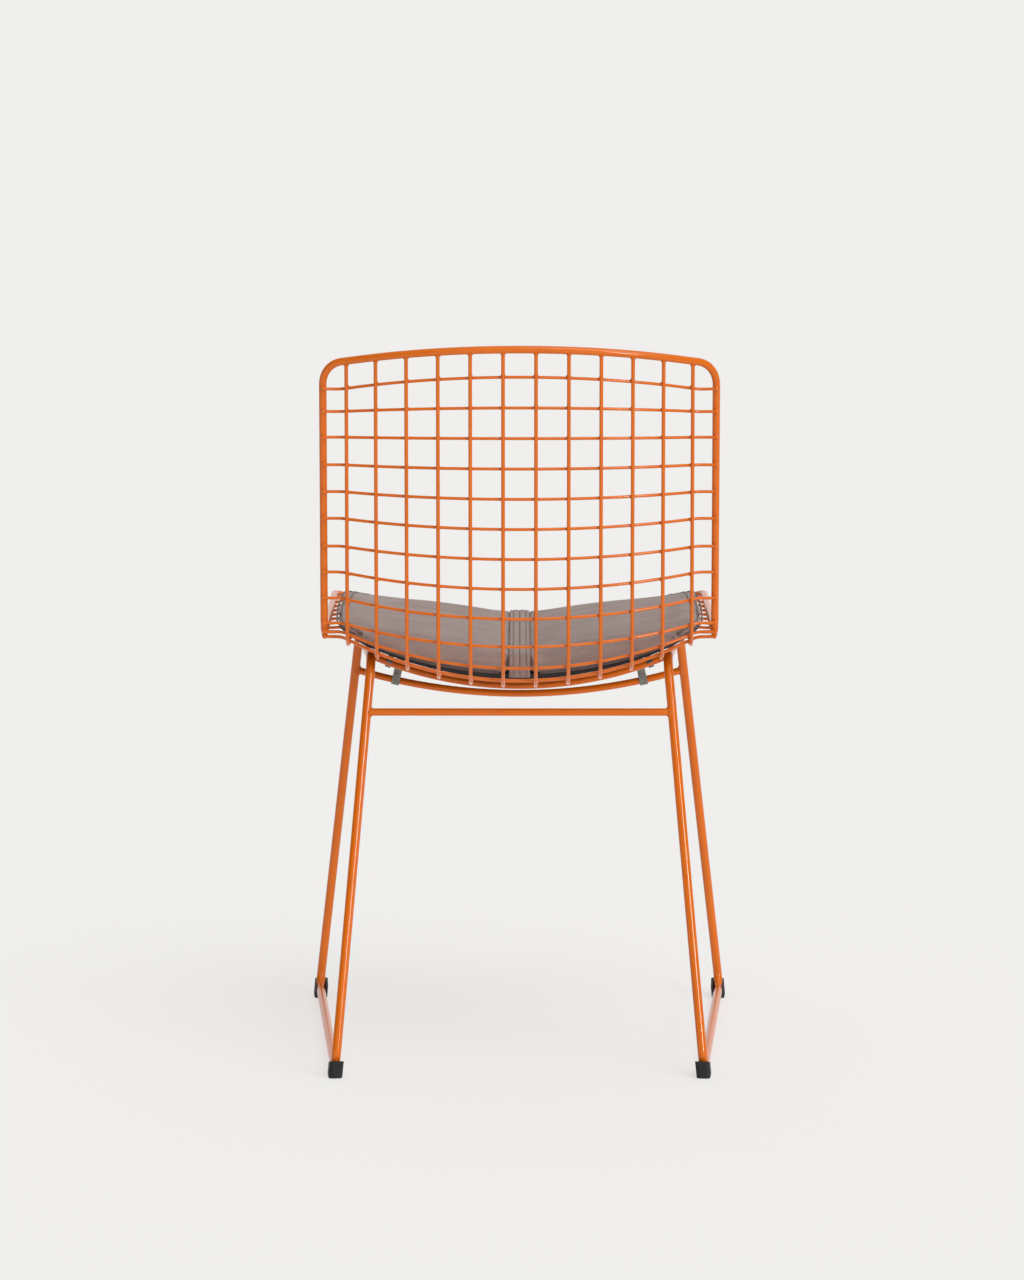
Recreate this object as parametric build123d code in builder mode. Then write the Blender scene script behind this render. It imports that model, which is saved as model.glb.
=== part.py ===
"""Wire dining chair: bent-bar sled base, welded wire shell and a loose two-panel seat pad.

Millimetres, +Z up, the sitter faces -Y, the chair stands on Z = 0 and is symmetric about X = 0.
"""
import os
from math import acos, asin, atan2, cos, pi, radians, sin, sqrt, tan

from build123d import *

# Bar and wire stock
BASE_BAR = 10.0
TIE_BAR = 8.0
RIM_BAR = 8.0
LONG_WIRE = 4.0
CROSS_WIRE = 3.2
WELD_GAP = 0.2

# Shell
CHAIR_HEIGHT = 787.5
SHELL_RADIUS = 400.0
BACK_LEAN = 12.0
SEAT_TILT = 2.0
SHELL_BEND = 85.0
BEND_FORWARD = 50.0
SEAT_LOW = 417.5
SEAT_REACH = 347.0
RIM_HALF_TOP = 205.0
RIM_HALF_BEND = 208.0
RIM_HALF_FRONT = 212.5
TOP_ARCH = 31.0
FRONT_BOW = 10.0
TOP_CORNER = 28.0
FRONT_CORNER = 30.0

# Shell wires
LONG_WIRE_COUNT = 12
WIRE_EDGE = 25.0
FIRST_CROSS = 30.3
BACK_PITCH = 32.8
SEAT_PITCH = 34.7
BACK_WIRE_COUNT = 12
SEAT_WIRE_COUNT = 10
BACK_ARCH = (31.8, 20.9, 14.6, 11.1, 6.8, 2.6, 0.0, -4.9, -9.4)
CROSS_SET = 25.0

# Sled base: half-width, distance ahead of the rear feet and height of each corner
REAR_FOOT = (197.5, 0.0, 10.0)
FRONT_FOOT = (235.5, 448.0, 10.0)
FRONT_TOP = (180.4, 280.0, 447.0)
REAR_TOP = (159.5, 75.0, 444.0)
FOOT_BEND = 16.0
TOP_BEND = 20.0
BACK_TIE_Z = 386.5
REAR_BAR_WIRE_INDEX = 2
FRONT_BAR_WIRE_INDEX = 8
FRONT_BAR_SAG = 27.5

# Rubber feet
FOOT_WIDTH = 15.0
FOOT_HEIGHT = 19.0
FOOT_LOW_END = 12.0
FOOT_LENGTH = 30.0
FOOT_CORNER = 4.0
FOOT_WALL = 3.5
FOOT_ROUND = 1.2
FOOT_CLEAR = 0.1

# Seat clips
CLIP_WIRE_INDEX = 9
FRONT_CLIP_ASIDE = 18.6
REAR_CLIP_ASIDE = 21.0
FRONT_CLIP_WIDTH = 9.0
REAR_CLIP_WIDTH = 6.0
CLIP_SHEET = 1.5
CLIP_CLEAR = 0.2
CLIP_MOUTH = 3.0
SCREW = 3.0
SCREW_HEAD = 5.6
SCREW_HEAD_H = 2.0
SCREW_SOCKET = 2.5
SCREW_TAIL = 1.0
NUT_FLATS = 5.5
NUT_H = 2.4

# Seat pad
PAD_HALF = 198.0
PAD_REAR = 46.0
PAD_FRONT = 386.0
PAD_CORNER = 42.0
PAD_SEAM = 19.0
PAD_CROWN = 22.0
PAD_EDGE = 6.0
PAD_STRIP = 19.0
PAD_CLOTH = 2.5
PAD_INSET = 6.0
PAD_RELIEF = 2.0
PAD_GAP = 0.4
SEWN_GAP = 0.1

X = Vector(1, 0, 0)
lean = radians(BACK_LEAN)
tilt = radians(SEAT_TILT)
turn = pi / 2 - lean + tilt
back_up = Vector(0, sin(lean), cos(lean))
back_in = Vector(0, -cos(lean), sin(lean))
seat_out = Vector(0, -cos(tilt), sin(tilt))
seat_up = Vector(0, sin(tilt), cos(tilt))
corner_in = (back_in + seat_up) * (1 / (1 + back_in.dot(seat_up)))
bend_axis = Vector(0, -BEND_FORWARD, SEAT_LOW + SHELL_BEND)
shell_corner = bend_axis - corner_in * SHELL_BEND

cross_in = (LONG_WIRE + CROSS_WIRE) / 2 + WELD_GAP
cross_radius = SHELL_RADIUS - cross_in
bend_reach = SHELL_BEND * tan(turn / 2)
top_t = (CHAIR_HEIGHT - RIM_BAR / 2 - shell_corner.Z) / back_up.Z
back_run = top_t - bend_reach
bend_run = SHELL_BEND * turn
front_s = bend_reach + SEAT_REACH


def rise(radius, x):
    """Rise of a shell cross-section of this radius at x, towards the sitter."""
    return radius - sqrt(radius * radius - x * x)


def station(u):
    """Point, inward normal and run direction of the shell's middle, u along it from the top rim."""
    if u <= back_run:
        return shell_corner + back_up * (top_t - u), back_in, back_up * -1
    if u <= back_run + bend_run:
        a = (u - back_run) / SHELL_BEND
        inward = back_in * cos(a) + back_up * sin(a)
        return bend_axis - inward * SHELL_BEND, inward, back_up * -cos(a) + back_in * sin(a)
    s = u - back_run - bend_run + bend_reach
    return shell_corner + seat_out * s, seat_up, seat_out


def bend_points(before, corner, after, radius):
    """Start, middle and end of the bend that rounds a corner."""
    a = (before - corner).normalized()
    b = (after - corner).normalized()
    half = acos(max(-1.0, min(1.0, a.dot(b)))) / 2
    inward = (a + b).normalized()
    middle = corner + inward * (radius / sin(half) - radius)
    return corner + a * (radius / tan(half)), middle, corner + b * (radius / tan(half))


def bent_line(points, radii):
    """Straights joined by bends, drawn in the current line builder."""
    here = points[0]
    for before, corner, after, radius in zip(points, points[1:], points[2:], radii):
        start, middle, end = bend_points(before, corner, after, radius)
        Line(here, start)
        ThreePointArc(start, middle, end)
        here = end
    Line(here, points[-1])


def bent_bar(points, radii, diameter):
    """Round bar along straights and bends."""
    with BuildPart() as bar:
        with BuildLine():
            bent_line(points, radii)
        with BuildSketch(Plane(origin=points[0], z_dir=points[1] - points[0])):
            Circle(diameter / 2)
        sweep()
    return bar.part


def arc_bar(points, diameter):
    """Round bar along one arc through three points."""
    with BuildPart() as bar:
        with BuildLine():
            arc = ThreePointArc(*points)
        with BuildSketch(Plane(origin=arc @ 0, z_dir=arc % 0)):
            Circle(diameter / 2)
        sweep()
    return bar.part


# Rim: top arc, side, bend, seat side and front arc of the right half, mirrored into one loop
def rim_arc(origin, inward, run, reach, drop, half):
    """Arc of the rim across the shell; it falls back along the run by drop at the half-width."""
    k = drop / rise(SHELL_RADIUS, half)

    def at(x):
        n = rise(SHELL_RADIUS, x)
        return origin + X * x + inward * n + run * (k * n)

    with BuildLine(mode=Mode.PRIVATE):
        arc = ThreePointArc(at(-reach), at(0), at(reach))
    end = arc @ 1
    along = arc % 1
    corner = end + along * ((half - end.X) / along.X)
    return arc @ 0.5, arc @ 0.75, end, corner


top_origin = shell_corner + back_up * top_t
front_origin = shell_corner + seat_out * front_s
top_mid, top_quarter, top_end, top_corner = rim_arc(
    top_origin, back_in, back_up * -1, 0.8 * RIM_HALF_TOP, TOP_ARCH, RIM_HALF_TOP)
front_mid, front_quarter, front_end, front_corner = rim_arc(
    front_origin, seat_up, seat_out * -1, 0.7 * RIM_HALF_FRONT, FRONT_BOW, RIM_HALF_FRONT)
rim_bend_in = rise(SHELL_RADIUS, RIM_HALF_BEND)
bend_corner = shell_corner + corner_in * rim_bend_in + X * RIM_HALF_BEND
bend_top = bend_points(top_end, top_corner, bend_corner, TOP_CORNER)
bend_mid = bend_points(top_corner, bend_corner, front_corner, SHELL_BEND - rim_bend_in)
bend_front = bend_points(bend_corner, front_corner, front_end, FRONT_CORNER)


def rim_bar(diameter):
    """The whole rim loop at this bar diameter."""
    with BuildPart() as rim:
        with BuildLine():
            ThreePointArc(top_mid, top_quarter, top_end)
            Line(top_end, bend_top[0])
            ThreePointArc(*bend_top)
            Line(bend_top[2], bend_mid[0])
            ThreePointArc(*bend_mid)
            Line(bend_mid[2], bend_front[0])
            ThreePointArc(*bend_front)
            Line(bend_front[2], front_end)
            ThreePointArc(front_end, front_quarter, front_mid)
        with BuildSketch(Plane(origin=top_mid, z_dir=X)):
            Circle(diameter / 2)
        sweep()
        mirror(about=Plane.YZ)
    return rim.part


parts = {}
parts["shell_rim"] = rim_bar(RIM_BAR)
rim_cutter = rim_bar(RIM_BAR + 2 * WELD_GAP)
with BuildLine(mode=Mode.PRIVATE) as rim_side:
    Line(bend_top[2], bend_mid[0])
    ThreePointArc(*bend_mid)
    Line(bend_mid[2], bend_front[0])
rim_side_wire = rim_side.wire()

# Long wires: down the back, round the bend and forward under the seat, ends coped to the rim
top_fall = TOP_ARCH / rise(SHELL_RADIUS, RIM_HALF_TOP)
front_fall = FRONT_BOW / rise(SHELL_RADIUS, RIM_HALF_FRONT)
rim_overlap = (RIM_BAR + LONG_WIRE) / 4


def long_wire_x(i, rim_half):
    """Distance of a long wire from the chair's middle, evenly spaced round the shell inside the rim."""
    share = 2 * i / (LONG_WIRE_COUNT - 1) - 1
    return SHELL_RADIUS * sin(share * asin((rim_half - WIRE_EDGE) / SHELL_RADIUS))


for i in range(LONG_WIRE_COUNT):
    x_top = long_wire_x(i, RIM_HALF_TOP)
    x_bend = long_wire_x(i, RIM_HALF_BEND)
    x_front = long_wire_x(i, RIM_HALF_FRONT)
    n_top = rise(SHELL_RADIUS, x_top)
    n_bend = rise(SHELL_RADIUS, x_bend)
    n_front = rise(SHELL_RADIUS, x_front)
    wire_points = (
        top_origin + X * x_top + back_in * n_top - back_up * (top_fall * n_top + rim_overlap),
        shell_corner + X * x_bend + corner_in * n_bend,
        front_origin + X * x_front + seat_up * n_front - seat_out * (front_fall * n_front + rim_overlap))
    with BuildPart() as long_wire:
        add(bent_bar(wire_points, (SHELL_BEND - n_bend,), LONG_WIRE))
        add(rim_cutter, mode=Mode.SUBTRACT)
    parts[f"long_wire_{i + 1:02d}"] = long_wire.part


# Cross wires: an arc on the sitter's side of the long wires, each end set back to lie behind the rim
def cross_station(j):
    """Where cross wire j crosses the shell's middle."""
    if j < BACK_WIRE_COUNT:
        return station(FIRST_CROSS + j * BACK_PITCH)
    return station(back_run + bend_run + (j - BACK_WIRE_COUNT) * SEAT_PITCH)


def rim_crossing(origin, normal):
    """Where the side of the rim passes through a wire's plane."""
    low, high = 0.0, 1.0
    side = ((rim_side_wire @ low) - origin).dot(normal)
    for _ in range(40):
        half = (low + high) / 2
        if ((rim_side_wire @ half) - origin).dot(normal) * side > 0:
            low = half
        else:
            high = half
    return rim_side_wire @ low


def cross_bar(j, diameter):
    """Cross wire j at this diameter."""
    origin, inward, run = cross_station(j)
    arch = BACK_ARCH[j] if j < len(BACK_ARCH) else 0.0
    k = arch / rise(SHELL_RADIUS, RIM_HALF_BEND)
    stretch = sqrt(1 + k * k)
    across = (inward + run * k) * (1 / stretch)
    middle = origin + inward * cross_in
    rim_point = rim_crossing(middle, run - inward * k) - middle
    x_rim = rim_point.X
    v_rim = rim_point.dot(across)
    x_arc = x_rim - WIRE_EDGE
    v_arc = rise(cross_radius, x_arc) * stretch
    radius = (x_arc ** 2 + v_arc ** 2) / (2 * v_arc)
    slope = asin(x_arc / radius)
    apart = ((RIM_BAR + CROSS_WIRE) / 2 + WELD_GAP) * stretch
    x_set = x_arc + CROSS_SET / 4
    v_set = v_arc + CROSS_SET / 4 * tan(slope)
    reach = sqrt((x_rim - x_set) ** 2 + (v_rim - v_set) ** 2)
    end_slope = atan2(v_rim - v_set, x_rim - x_set) - asin(apart / reach)
    run_out = sqrt(reach ** 2 - apart ** 2)
    half = (
        (x_set + run_out * cos(end_slope), v_set + run_out * sin(end_slope)),
        (x_set, v_set),
        (0.0, v_arc - x_arc * tan(slope)))
    flat = half + ((-half[1][0], half[1][1]), (-half[0][0], half[0][1]))
    points = [middle + X * x + across * v for x, v in flat]
    return bent_bar(points, (CROSS_SET, radius, CROSS_SET), diameter)


for j in range(BACK_WIRE_COUNT + SEAT_WIRE_COUNT):
    parts[f"cross_wire_{j + 1:02d}"] = cross_bar(j, CROSS_WIRE)


# Sled base: two leaning side frames and three tie bars coped between them
def base_point(half_width, ahead, z):
    """Corner of the right side frame."""
    return Vector(half_width, -ahead, z)


rear_foot = base_point(*REAR_FOOT)
front_foot = base_point(*FRONT_FOOT)
front_top = base_point(*FRONT_TOP)
rear_top = base_point(*REAR_TOP)
runner_mid = (rear_foot + front_foot) * 0.5
rail_mid = (rear_top + front_top) * 0.5


def side_frame(diameter):
    """Closed side frame: runner, leg, rail and leg, at this bar diameter."""
    with BuildPart() as frame:
        add(bent_bar((runner_mid, rear_foot, rear_top, rail_mid), (FOOT_BEND, TOP_BEND), diameter))
        add(bent_bar((runner_mid, front_foot, front_top, rail_mid), (FOOT_BEND, TOP_BEND), diameter))
    return frame.part


def mirrored(part):
    """The same piece on the other side of the chair."""
    with BuildPart() as other:
        mirror(part, about=Plane.YZ)
    return other.part


def coped(bar):
    """A tie bar with its ends shaped to the side frames."""
    with BuildPart() as cut:
        add(bar)
        add(frame_cutter, mode=Mode.SUBTRACT)
        add(mirrored(frame_cutter), mode=Mode.SUBTRACT)
    return cut.part


parts["side_frame_right"] = side_frame(BASE_BAR)
parts["side_frame_left"] = mirrored(parts["side_frame_right"])
frame_cutter = side_frame(BASE_BAR + 2 * WELD_GAP)

tie_end = rear_foot + (rear_top - rear_foot) * ((BACK_TIE_Z - rear_foot.Z) / (rear_top.Z - rear_foot.Z))
with BuildPart() as back_tie:
    with BuildSketch(Plane(origin=(0, tie_end.Y, tie_end.Z), z_dir=X)):
        Circle(TIE_BAR / 2)
    extrude(amount=tie_end.X, both=True)
parts["back_tie"] = coped(back_tie.part)


class SeatBar:
    """Curved tie bar below one seat wire, in the plane of that wire."""

    def __init__(self, wire, line_start, line_end, drop, sag=None):
        self.wire = BACK_WIRE_COUNT + wire - 1
        self.origin = cross_station(self.wire)[0]
        line = line_end - line_start
        share = (self.origin - line_start).dot(seat_out) / line.dot(seat_out)
        self.half = (line_start + line * share).X
        if sag is None:
            self.radius = SHELL_RADIUS + drop
            self.low = -drop
        else:
            self.radius = (self.half ** 2 + sag ** 2) / (2 * sag)
            self.low = (line_start + line * share - self.origin).dot(seat_up) - sag

    def at(self, x):
        """Centre-line point at x."""
        return self.origin + X * x + seat_up * (self.low + rise(self.radius, x))

    def bar(self, diameter):
        """The bar between the side frames' centre lines, at this diameter."""
        return arc_bar((self.at(-self.half), self.at(0), self.at(self.half)), diameter)


rear_bar = SeatBar(REAR_BAR_WIRE_INDEX, rear_top, front_top, (LONG_WIRE + TIE_BAR) / 2 + WELD_GAP)
front_bar = SeatBar(FRONT_BAR_WIRE_INDEX, front_foot, front_top, 0.0, FRONT_BAR_SAG)
parts["rear_seat_bar"] = coped(rear_bar.bar(TIE_BAR))
parts["front_seat_bar"] = coped(front_bar.bar(TIE_BAR))


# Rubber feet: channels pushed up over the corners of the runners, leaning with the side frames
def rubber_foot(corner, top, inward):
    """Right foot at a runner corner; inward is the direction along the runner, away from the corner."""
    outer_bend = bend_points(runner_mid, corner, top, FOOT_BEND)
    centre_ahead = (outer_bend[0] - corner).dot(inward) - FOOT_BEND - BASE_BAR / 2 - FOOT_WALL
    outer = corner + inward * centre_ahead - Vector(0, 0, corner.Z)
    middle = outer + inward * (FOOT_LENGTH / 2)
    upright = (top - corner) - inward * (top - corner).dot(inward)
    with BuildPart() as foot:
        with BuildSketch(Plane(origin=middle, x_dir=inward, z_dir=(0, 0, 1))):
            RectangleRounded(FOOT_LENGTH, FOOT_WIDTH, FOOT_CORNER)
        extrude(amount=2 * FOOT_HEIGHT, dir=upright.normalized())
        fillet(foot.faces().sort_by(Axis.Z)[0].edges(), FOOT_ROUND)
        slope_x = inward * FOOT_LENGTH + Vector(0, 0, FOOT_LOW_END - FOOT_HEIGHT)
        slope = Plane(origin=outer + Vector(0, 0, FOOT_HEIGHT), x_dir=slope_x,
                      z_dir=slope_x.cross(inward.cross(Vector(0, 0, 1)) * -1))
        split(bisect_by=slope, keep=Keep.BOTTOM)
        channel = Plane(origin=middle + upright * (corner.Z / upright.Z), x_dir=inward, z_dir=(0, 0, 1))
        with BuildSketch(channel):
            with Locations((FOOT_WALL + BASE_BAR / 2, 0)):
                Rectangle(FOOT_LENGTH, BASE_BAR + 2 * FOOT_CLEAR)
        extrude(amount=FOOT_HEIGHT, dir=upright.normalized(), mode=Mode.SUBTRACT)
        add(foot_cutter, mode=Mode.SUBTRACT)
    return foot.part


foot_cutter = side_frame(BASE_BAR + 2 * FOOT_CLEAR)
runner_ahead = (front_foot - rear_foot).normalized()
parts["foot_rear_right"] = rubber_foot(rear_foot, rear_top, runner_ahead)
parts["foot_front_right"] = rubber_foot(front_foot, front_top, runner_ahead * -1)
parts["foot_rear_left"] = mirrored(parts["foot_rear_right"])
parts["foot_front_left"] = mirrored(parts["foot_front_right"])

# Seat clips: steel straps round a seat bar and the cross wire above it
class SeatClip:
    """Right-hand strap clip on a seat bar, a set distance aside from a long wire."""

    def __init__(self, bar, aside, width):
        near = long_wire_x(CLIP_WIRE_INDEX, RIM_HALF_BEND)
        far = long_wire_x(CLIP_WIRE_INDEX, RIM_HALF_FRONT)
        x = near + (far - near) * (bar.origin - shell_corner).dot(seat_out) / front_s + aside
        self.bar = bar
        self.width = width
        self.base = bar.at(x)
        angle = asin(x / bar.radius)
        self.up = X * -sin(angle) + seat_up * cos(angle)
        self.along = X * cos(angle) + seat_up * sin(angle)
        from_wire = self.base - (bar.origin + seat_up * (cross_in + cross_radius))
        aim = from_wire.dot(self.up)
        self.length = -aim - sqrt(aim * aim - from_wire.dot(from_wire) + cross_radius ** 2)
        self.section = Plane(origin=self.base, x_dir=seat_out, z_dir=seat_out.cross(self.up))
        self.top = Plane(origin=self.base + self.up * self.length, x_dir=self.along, z_dir=self.up)
        self.bolt = self.base + self.up * (TIE_BAR / 2 + CLIP_CLEAR + SCREW / 2 + CLIP_CLEAR)

    def bolt_plane(self, distance):
        """Plane across the screw, this far behind the bar's middle."""
        return Plane(origin=self.bolt - seat_out * distance, x_dir=self.along, z_dir=seat_out * -1)


def strap_belt(clip, thick):
    """Solid belt round the bar and the wire, this much outside them."""
    with BuildPart() as belt:
        with BuildSketch(clip.section):
            Circle(TIE_BAR / 2 + thick)
            with Locations((0, clip.length)):
                Circle(CROSS_WIRE / 2 + thick)
            make_hull()
        extrude(amount=clip.width / 2, both=True)
    return belt.part


def strap(clip):
    """Closed strap bent round the bar and the wire."""
    with BuildPart() as band:
        add(strap_belt(clip, CLIP_CLEAR + CLIP_SHEET))
        add(strap_belt(clip, CLIP_CLEAR), mode=Mode.SUBTRACT)
        add(cross_bar(clip.bar.wire, CROSS_WIRE + 2 * CLIP_CLEAR), mode=Mode.SUBTRACT)
        add(clip.bar.bar(TIE_BAR + CLIP_CLEAR), mode=Mode.SUBTRACT)
    return band.part


front_clip = SeatClip(front_bar, FRONT_CLIP_ASIDE, FRONT_CLIP_WIDTH)
with BuildPart() as seat_clip_front:
    add(strap(front_clip))
    with BuildSketch(front_clip.section):
        with Locations((0, -TIE_BAR / 2)):
            Rectangle(CLIP_MOUTH, TIE_BAR)
    extrude(amount=front_clip.width, both=True, mode=Mode.SUBTRACT)
    with BuildSketch(front_clip.bolt_plane(0)):
        Circle(SCREW / 2 + CLIP_CLEAR)
    extrude(amount=TIE_BAR + SCREW, both=True, mode=Mode.SUBTRACT)
parts["seat_clip_front_right"] = seat_clip_front.part
parts["seat_clip_front_left"] = mirrored(seat_clip_front.part)

rear_clip = SeatClip(rear_bar, REAR_CLIP_ASIDE, REAR_CLIP_WIDTH)
with BuildPart() as seat_clip_rear:
    add(strap(rear_clip))
    with BuildSketch(rear_clip.section):
        with Locations((-TIE_BAR / 2, -TIE_BAR / 2)):
            Rectangle(TIE_BAR, TIE_BAR)
    extrude(amount=rear_clip.width, both=True, mode=Mode.SUBTRACT)
parts["seat_clip_rear_right"] = seat_clip_rear.part
parts["seat_clip_rear_left"] = mirrored(seat_clip_rear.part)

strap_out = TIE_BAR / 2 + CLIP_CLEAR + CLIP_SHEET
with BuildPart() as clip_screws:
    with BuildSketch(front_clip.bolt_plane(strap_out)):
        Circle(SCREW_HEAD / 2)
    extrude(amount=SCREW_HEAD_H)
    with BuildSketch(front_clip.bolt_plane(strap_out)):
        Circle(SCREW / 2)
    extrude(amount=-(2 * strap_out + NUT_H + SCREW_TAIL))
    with BuildSketch(front_clip.bolt_plane(strap_out + SCREW_HEAD_H)):
        RegularPolygon(SCREW_SOCKET / 2, 6, major_radius=False)
    extrude(amount=-SCREW_HEAD_H / 2, mode=Mode.SUBTRACT)
    mirror(about=Plane.YZ)
parts["clip_screws"] = clip_screws.part
with BuildPart() as clip_nuts:
    with BuildSketch(front_clip.bolt_plane(-strap_out)):
        RegularPolygon(NUT_FLATS / 2, 6, major_radius=False)
        Circle(SCREW / 2 + CLIP_CLEAR / 2, mode=Mode.SUBTRACT)
    extrude(amount=-NUT_H)
    mirror(about=Plane.YZ)
parts["clip_nuts"] = clip_nuts.part

# Seat pad: black cloth underside, two domed panels and the sewn strip between them
cloth_in = LONG_WIRE / 2 + WELD_GAP + CROSS_WIRE + PAD_GAP
panel_in = cloth_in + PAD_CLOTH + SEWN_GAP
pad_length = (PAD_FRONT - PAD_REAR) / cos(tilt)
pad_origin = shell_corner + seat_out * ((shell_corner.Y + PAD_REAR) / cos(tilt))
pad_section = Plane(origin=pad_origin, x_dir=X, z_dir=seat_out)
pad_plan = Plane(origin=pad_origin, x_dir=X, z_dir=seat_up)


def pad_point(level, x, thick=0.0):
    """Point of the pad's section over the shell level at x, raised by a thickness."""
    return (x, level + rise(SHELL_RADIUS - level, x) + thick)


def pad_slab(x_left, x_right, level, tops, overrun=0.0):
    """Slab of the pad between two widths, its top raised at the left, middle and right."""
    x_mid = (x_left + x_right) / 2
    low = [pad_point(level, x) for x in (x_left, x_mid, x_right)]
    high = [pad_point(level, x, top) for x, top in zip((x_left, x_mid, x_right), tops)]
    with BuildPart() as slab:
        with BuildSketch(pad_section.offset(-overrun)):
            with BuildLine():
                ThreePointArc(*low)
                Line(low[2], high[2])
                ThreePointArc(*high[::-1])
                Line(high[0], low[0])
            make_face()
        extrude(amount=pad_length + 2 * overrun)
    return slab.part


def pad_outline(inset):
    """Upright prism on the pad's plan, inset from its edge."""
    with BuildPart() as prism:
        with BuildSketch(pad_plan):
            with Locations((0, -pad_length / 2)):
                RectangleRounded(2 * (PAD_HALF - inset), pad_length - 2 * inset, PAD_CORNER - inset)
        extrude(amount=pad_length, both=True)
    return prism.part


with BuildPart() as panel:
    add(pad_slab(PAD_STRIP / 2 + SEWN_GAP, PAD_HALF + PAD_INSET, panel_in,
                 (PAD_SEAM, PAD_CROWN, PAD_EDGE), PAD_INSET))
    add(pad_outline(0.0), mode=Mode.INTERSECT)
parts["pad_panel_right"] = panel.part
parts["pad_panel_left"] = mirrored(panel.part)

parts["pad_strip"] = pad_slab(-PAD_STRIP / 2, PAD_STRIP / 2, panel_in, (PAD_SEAM,) * 3)

with BuildPart() as clip_windows:
    for clip in (front_clip, rear_clip):
        with BuildSketch(clip.top):
            Rectangle(clip.width + 2 * PAD_RELIEF, CROSS_WIRE + 2 * (CLIP_CLEAR + CLIP_SHEET + PAD_RELIEF))
        extrude(amount=PAD_CROWN, both=True)
    mirror(about=Plane.YZ)

with BuildPart() as cloth:
    add(pad_slab(-PAD_HALF, PAD_HALF, cloth_in, (PAD_CLOTH,) * 3, PAD_INSET))
    add(pad_outline(PAD_INSET), mode=Mode.INTERSECT)
    add(clip_windows.part, mode=Mode.SUBTRACT)
parts["pad_underside"] = cloth.part

# The chair is centred over the origin and every piece is written out
boxes = [part.bounding_box() for part in parts.values()]
middle_y = (min(b.min.Y for b in boxes) + max(b.max.Y for b in boxes)) / 2
os.makedirs("parts", exist_ok=True)
for name, part in parts.items():
    placed = part.moved(Location((0, -middle_y, 0)))
    placed.label = name
    export_step(placed, f"parts/{name}.step")
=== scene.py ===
"""Looks of the wire dining chair: coated wire, welds, rubber feet, steel clips and a sewn seat pad."""
from math import acos, asin, cos, pi, radians, sin, sqrt, tan

import bmesh
import bpy
from mathutils import Euler, Matrix, Vector, noise
from mathutils.bvhtree import BVHTree


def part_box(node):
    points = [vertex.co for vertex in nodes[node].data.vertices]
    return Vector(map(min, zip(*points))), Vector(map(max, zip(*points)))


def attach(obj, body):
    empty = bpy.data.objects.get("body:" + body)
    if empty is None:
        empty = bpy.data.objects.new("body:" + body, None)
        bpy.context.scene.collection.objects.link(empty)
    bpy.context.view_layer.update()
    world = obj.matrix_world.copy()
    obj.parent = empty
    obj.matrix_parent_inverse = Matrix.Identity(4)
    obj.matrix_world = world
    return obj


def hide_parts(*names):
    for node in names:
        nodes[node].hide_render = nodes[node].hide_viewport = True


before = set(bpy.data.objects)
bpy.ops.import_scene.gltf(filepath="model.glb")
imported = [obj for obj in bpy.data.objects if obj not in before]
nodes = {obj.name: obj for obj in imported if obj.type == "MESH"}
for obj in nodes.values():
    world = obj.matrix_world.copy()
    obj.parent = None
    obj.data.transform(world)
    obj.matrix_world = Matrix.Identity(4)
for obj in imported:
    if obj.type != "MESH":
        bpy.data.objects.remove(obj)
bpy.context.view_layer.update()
scene = bpy.context.scene

# Sizes that the welds and the pad share with the chair, in metres
Y_SHIFT = 0.1744359
RIM_BAR = 0.008
TIE_BAR = 0.008
LONG_WIRE = 0.004
CROSS_WIRE = 0.0032
WELD_GAP = 0.0002
CHAIR_HEIGHT = 0.7875
SHELL_RADIUS = 0.4
SHELL_BEND = 0.085
BEND_FORWARD = 0.05
SEAT_LOW = 0.4175
SEAT_REACH = 0.347
RIM_HALF_TOP = 0.205
RIM_HALF_BEND = 0.208
RIM_HALF_FRONT = 0.2125
TOP_ARCH = 0.031
FRONT_BOW = 0.010
LONG_WIRES = 12
WIRE_EDGE = 0.025
FIRST_CROSS = 0.0303
BACK_PITCH = 0.0328
SEAT_PITCH = 0.0347
BACK_WIRES = 12
SEAT_WIRES = 10
BACK_ARCH = (0.0318, 0.0209, 0.0146, 0.0111, 0.0068, 0.0026, 0.0, -0.0049, -0.0094)
PAD_HALF = 0.198
PAD_REAR = 0.046
PAD_FRONT = 0.386
PAD_STRIP = 0.019
PAD_CLOTH = 0.0025
PAD_INSET = 0.006
PAD_GAP = 0.0004
SEWN_GAP = 0.0001

X = Vector((1, 0, 0))
lean = radians(12)
tilt = radians(2)
turn = pi / 2 - lean + tilt
back_up = Vector((0, sin(lean), cos(lean)))
back_in = Vector((0, -cos(lean), sin(lean)))
seat_out = Vector((0, -cos(tilt), sin(tilt)))
seat_up = Vector((0, sin(tilt), cos(tilt)))
corner_in = (back_in + seat_up) / (1 + back_in.dot(seat_up))
bend_axis = Vector((0, Y_SHIFT - BEND_FORWARD, SEAT_LOW + SHELL_BEND))
shell_corner = bend_axis - corner_in * SHELL_BEND
cross_in = (LONG_WIRE + CROSS_WIRE) / 2 + WELD_GAP
bend_reach = SHELL_BEND * tan(turn / 2)
top_t = (CHAIR_HEIGHT - RIM_BAR / 2 - shell_corner.z) / back_up.z
back_run = top_t - bend_reach
bend_run = SHELL_BEND * turn


def rise(radius, x):
    """Rise of a round section of this radius at x."""
    return radius - sqrt(radius * radius - x * x)


# Shader helpers
def srgb(red, green, blue):
    """Linear colour of an eight-bit tone."""
    def linear(c):
        c = c / 255
        return c / 12.92 if c <= 0.04045 else ((c + 0.055) / 1.055) ** 2.4
    return (linear(red), linear(green), linear(blue), 1.0)


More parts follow.
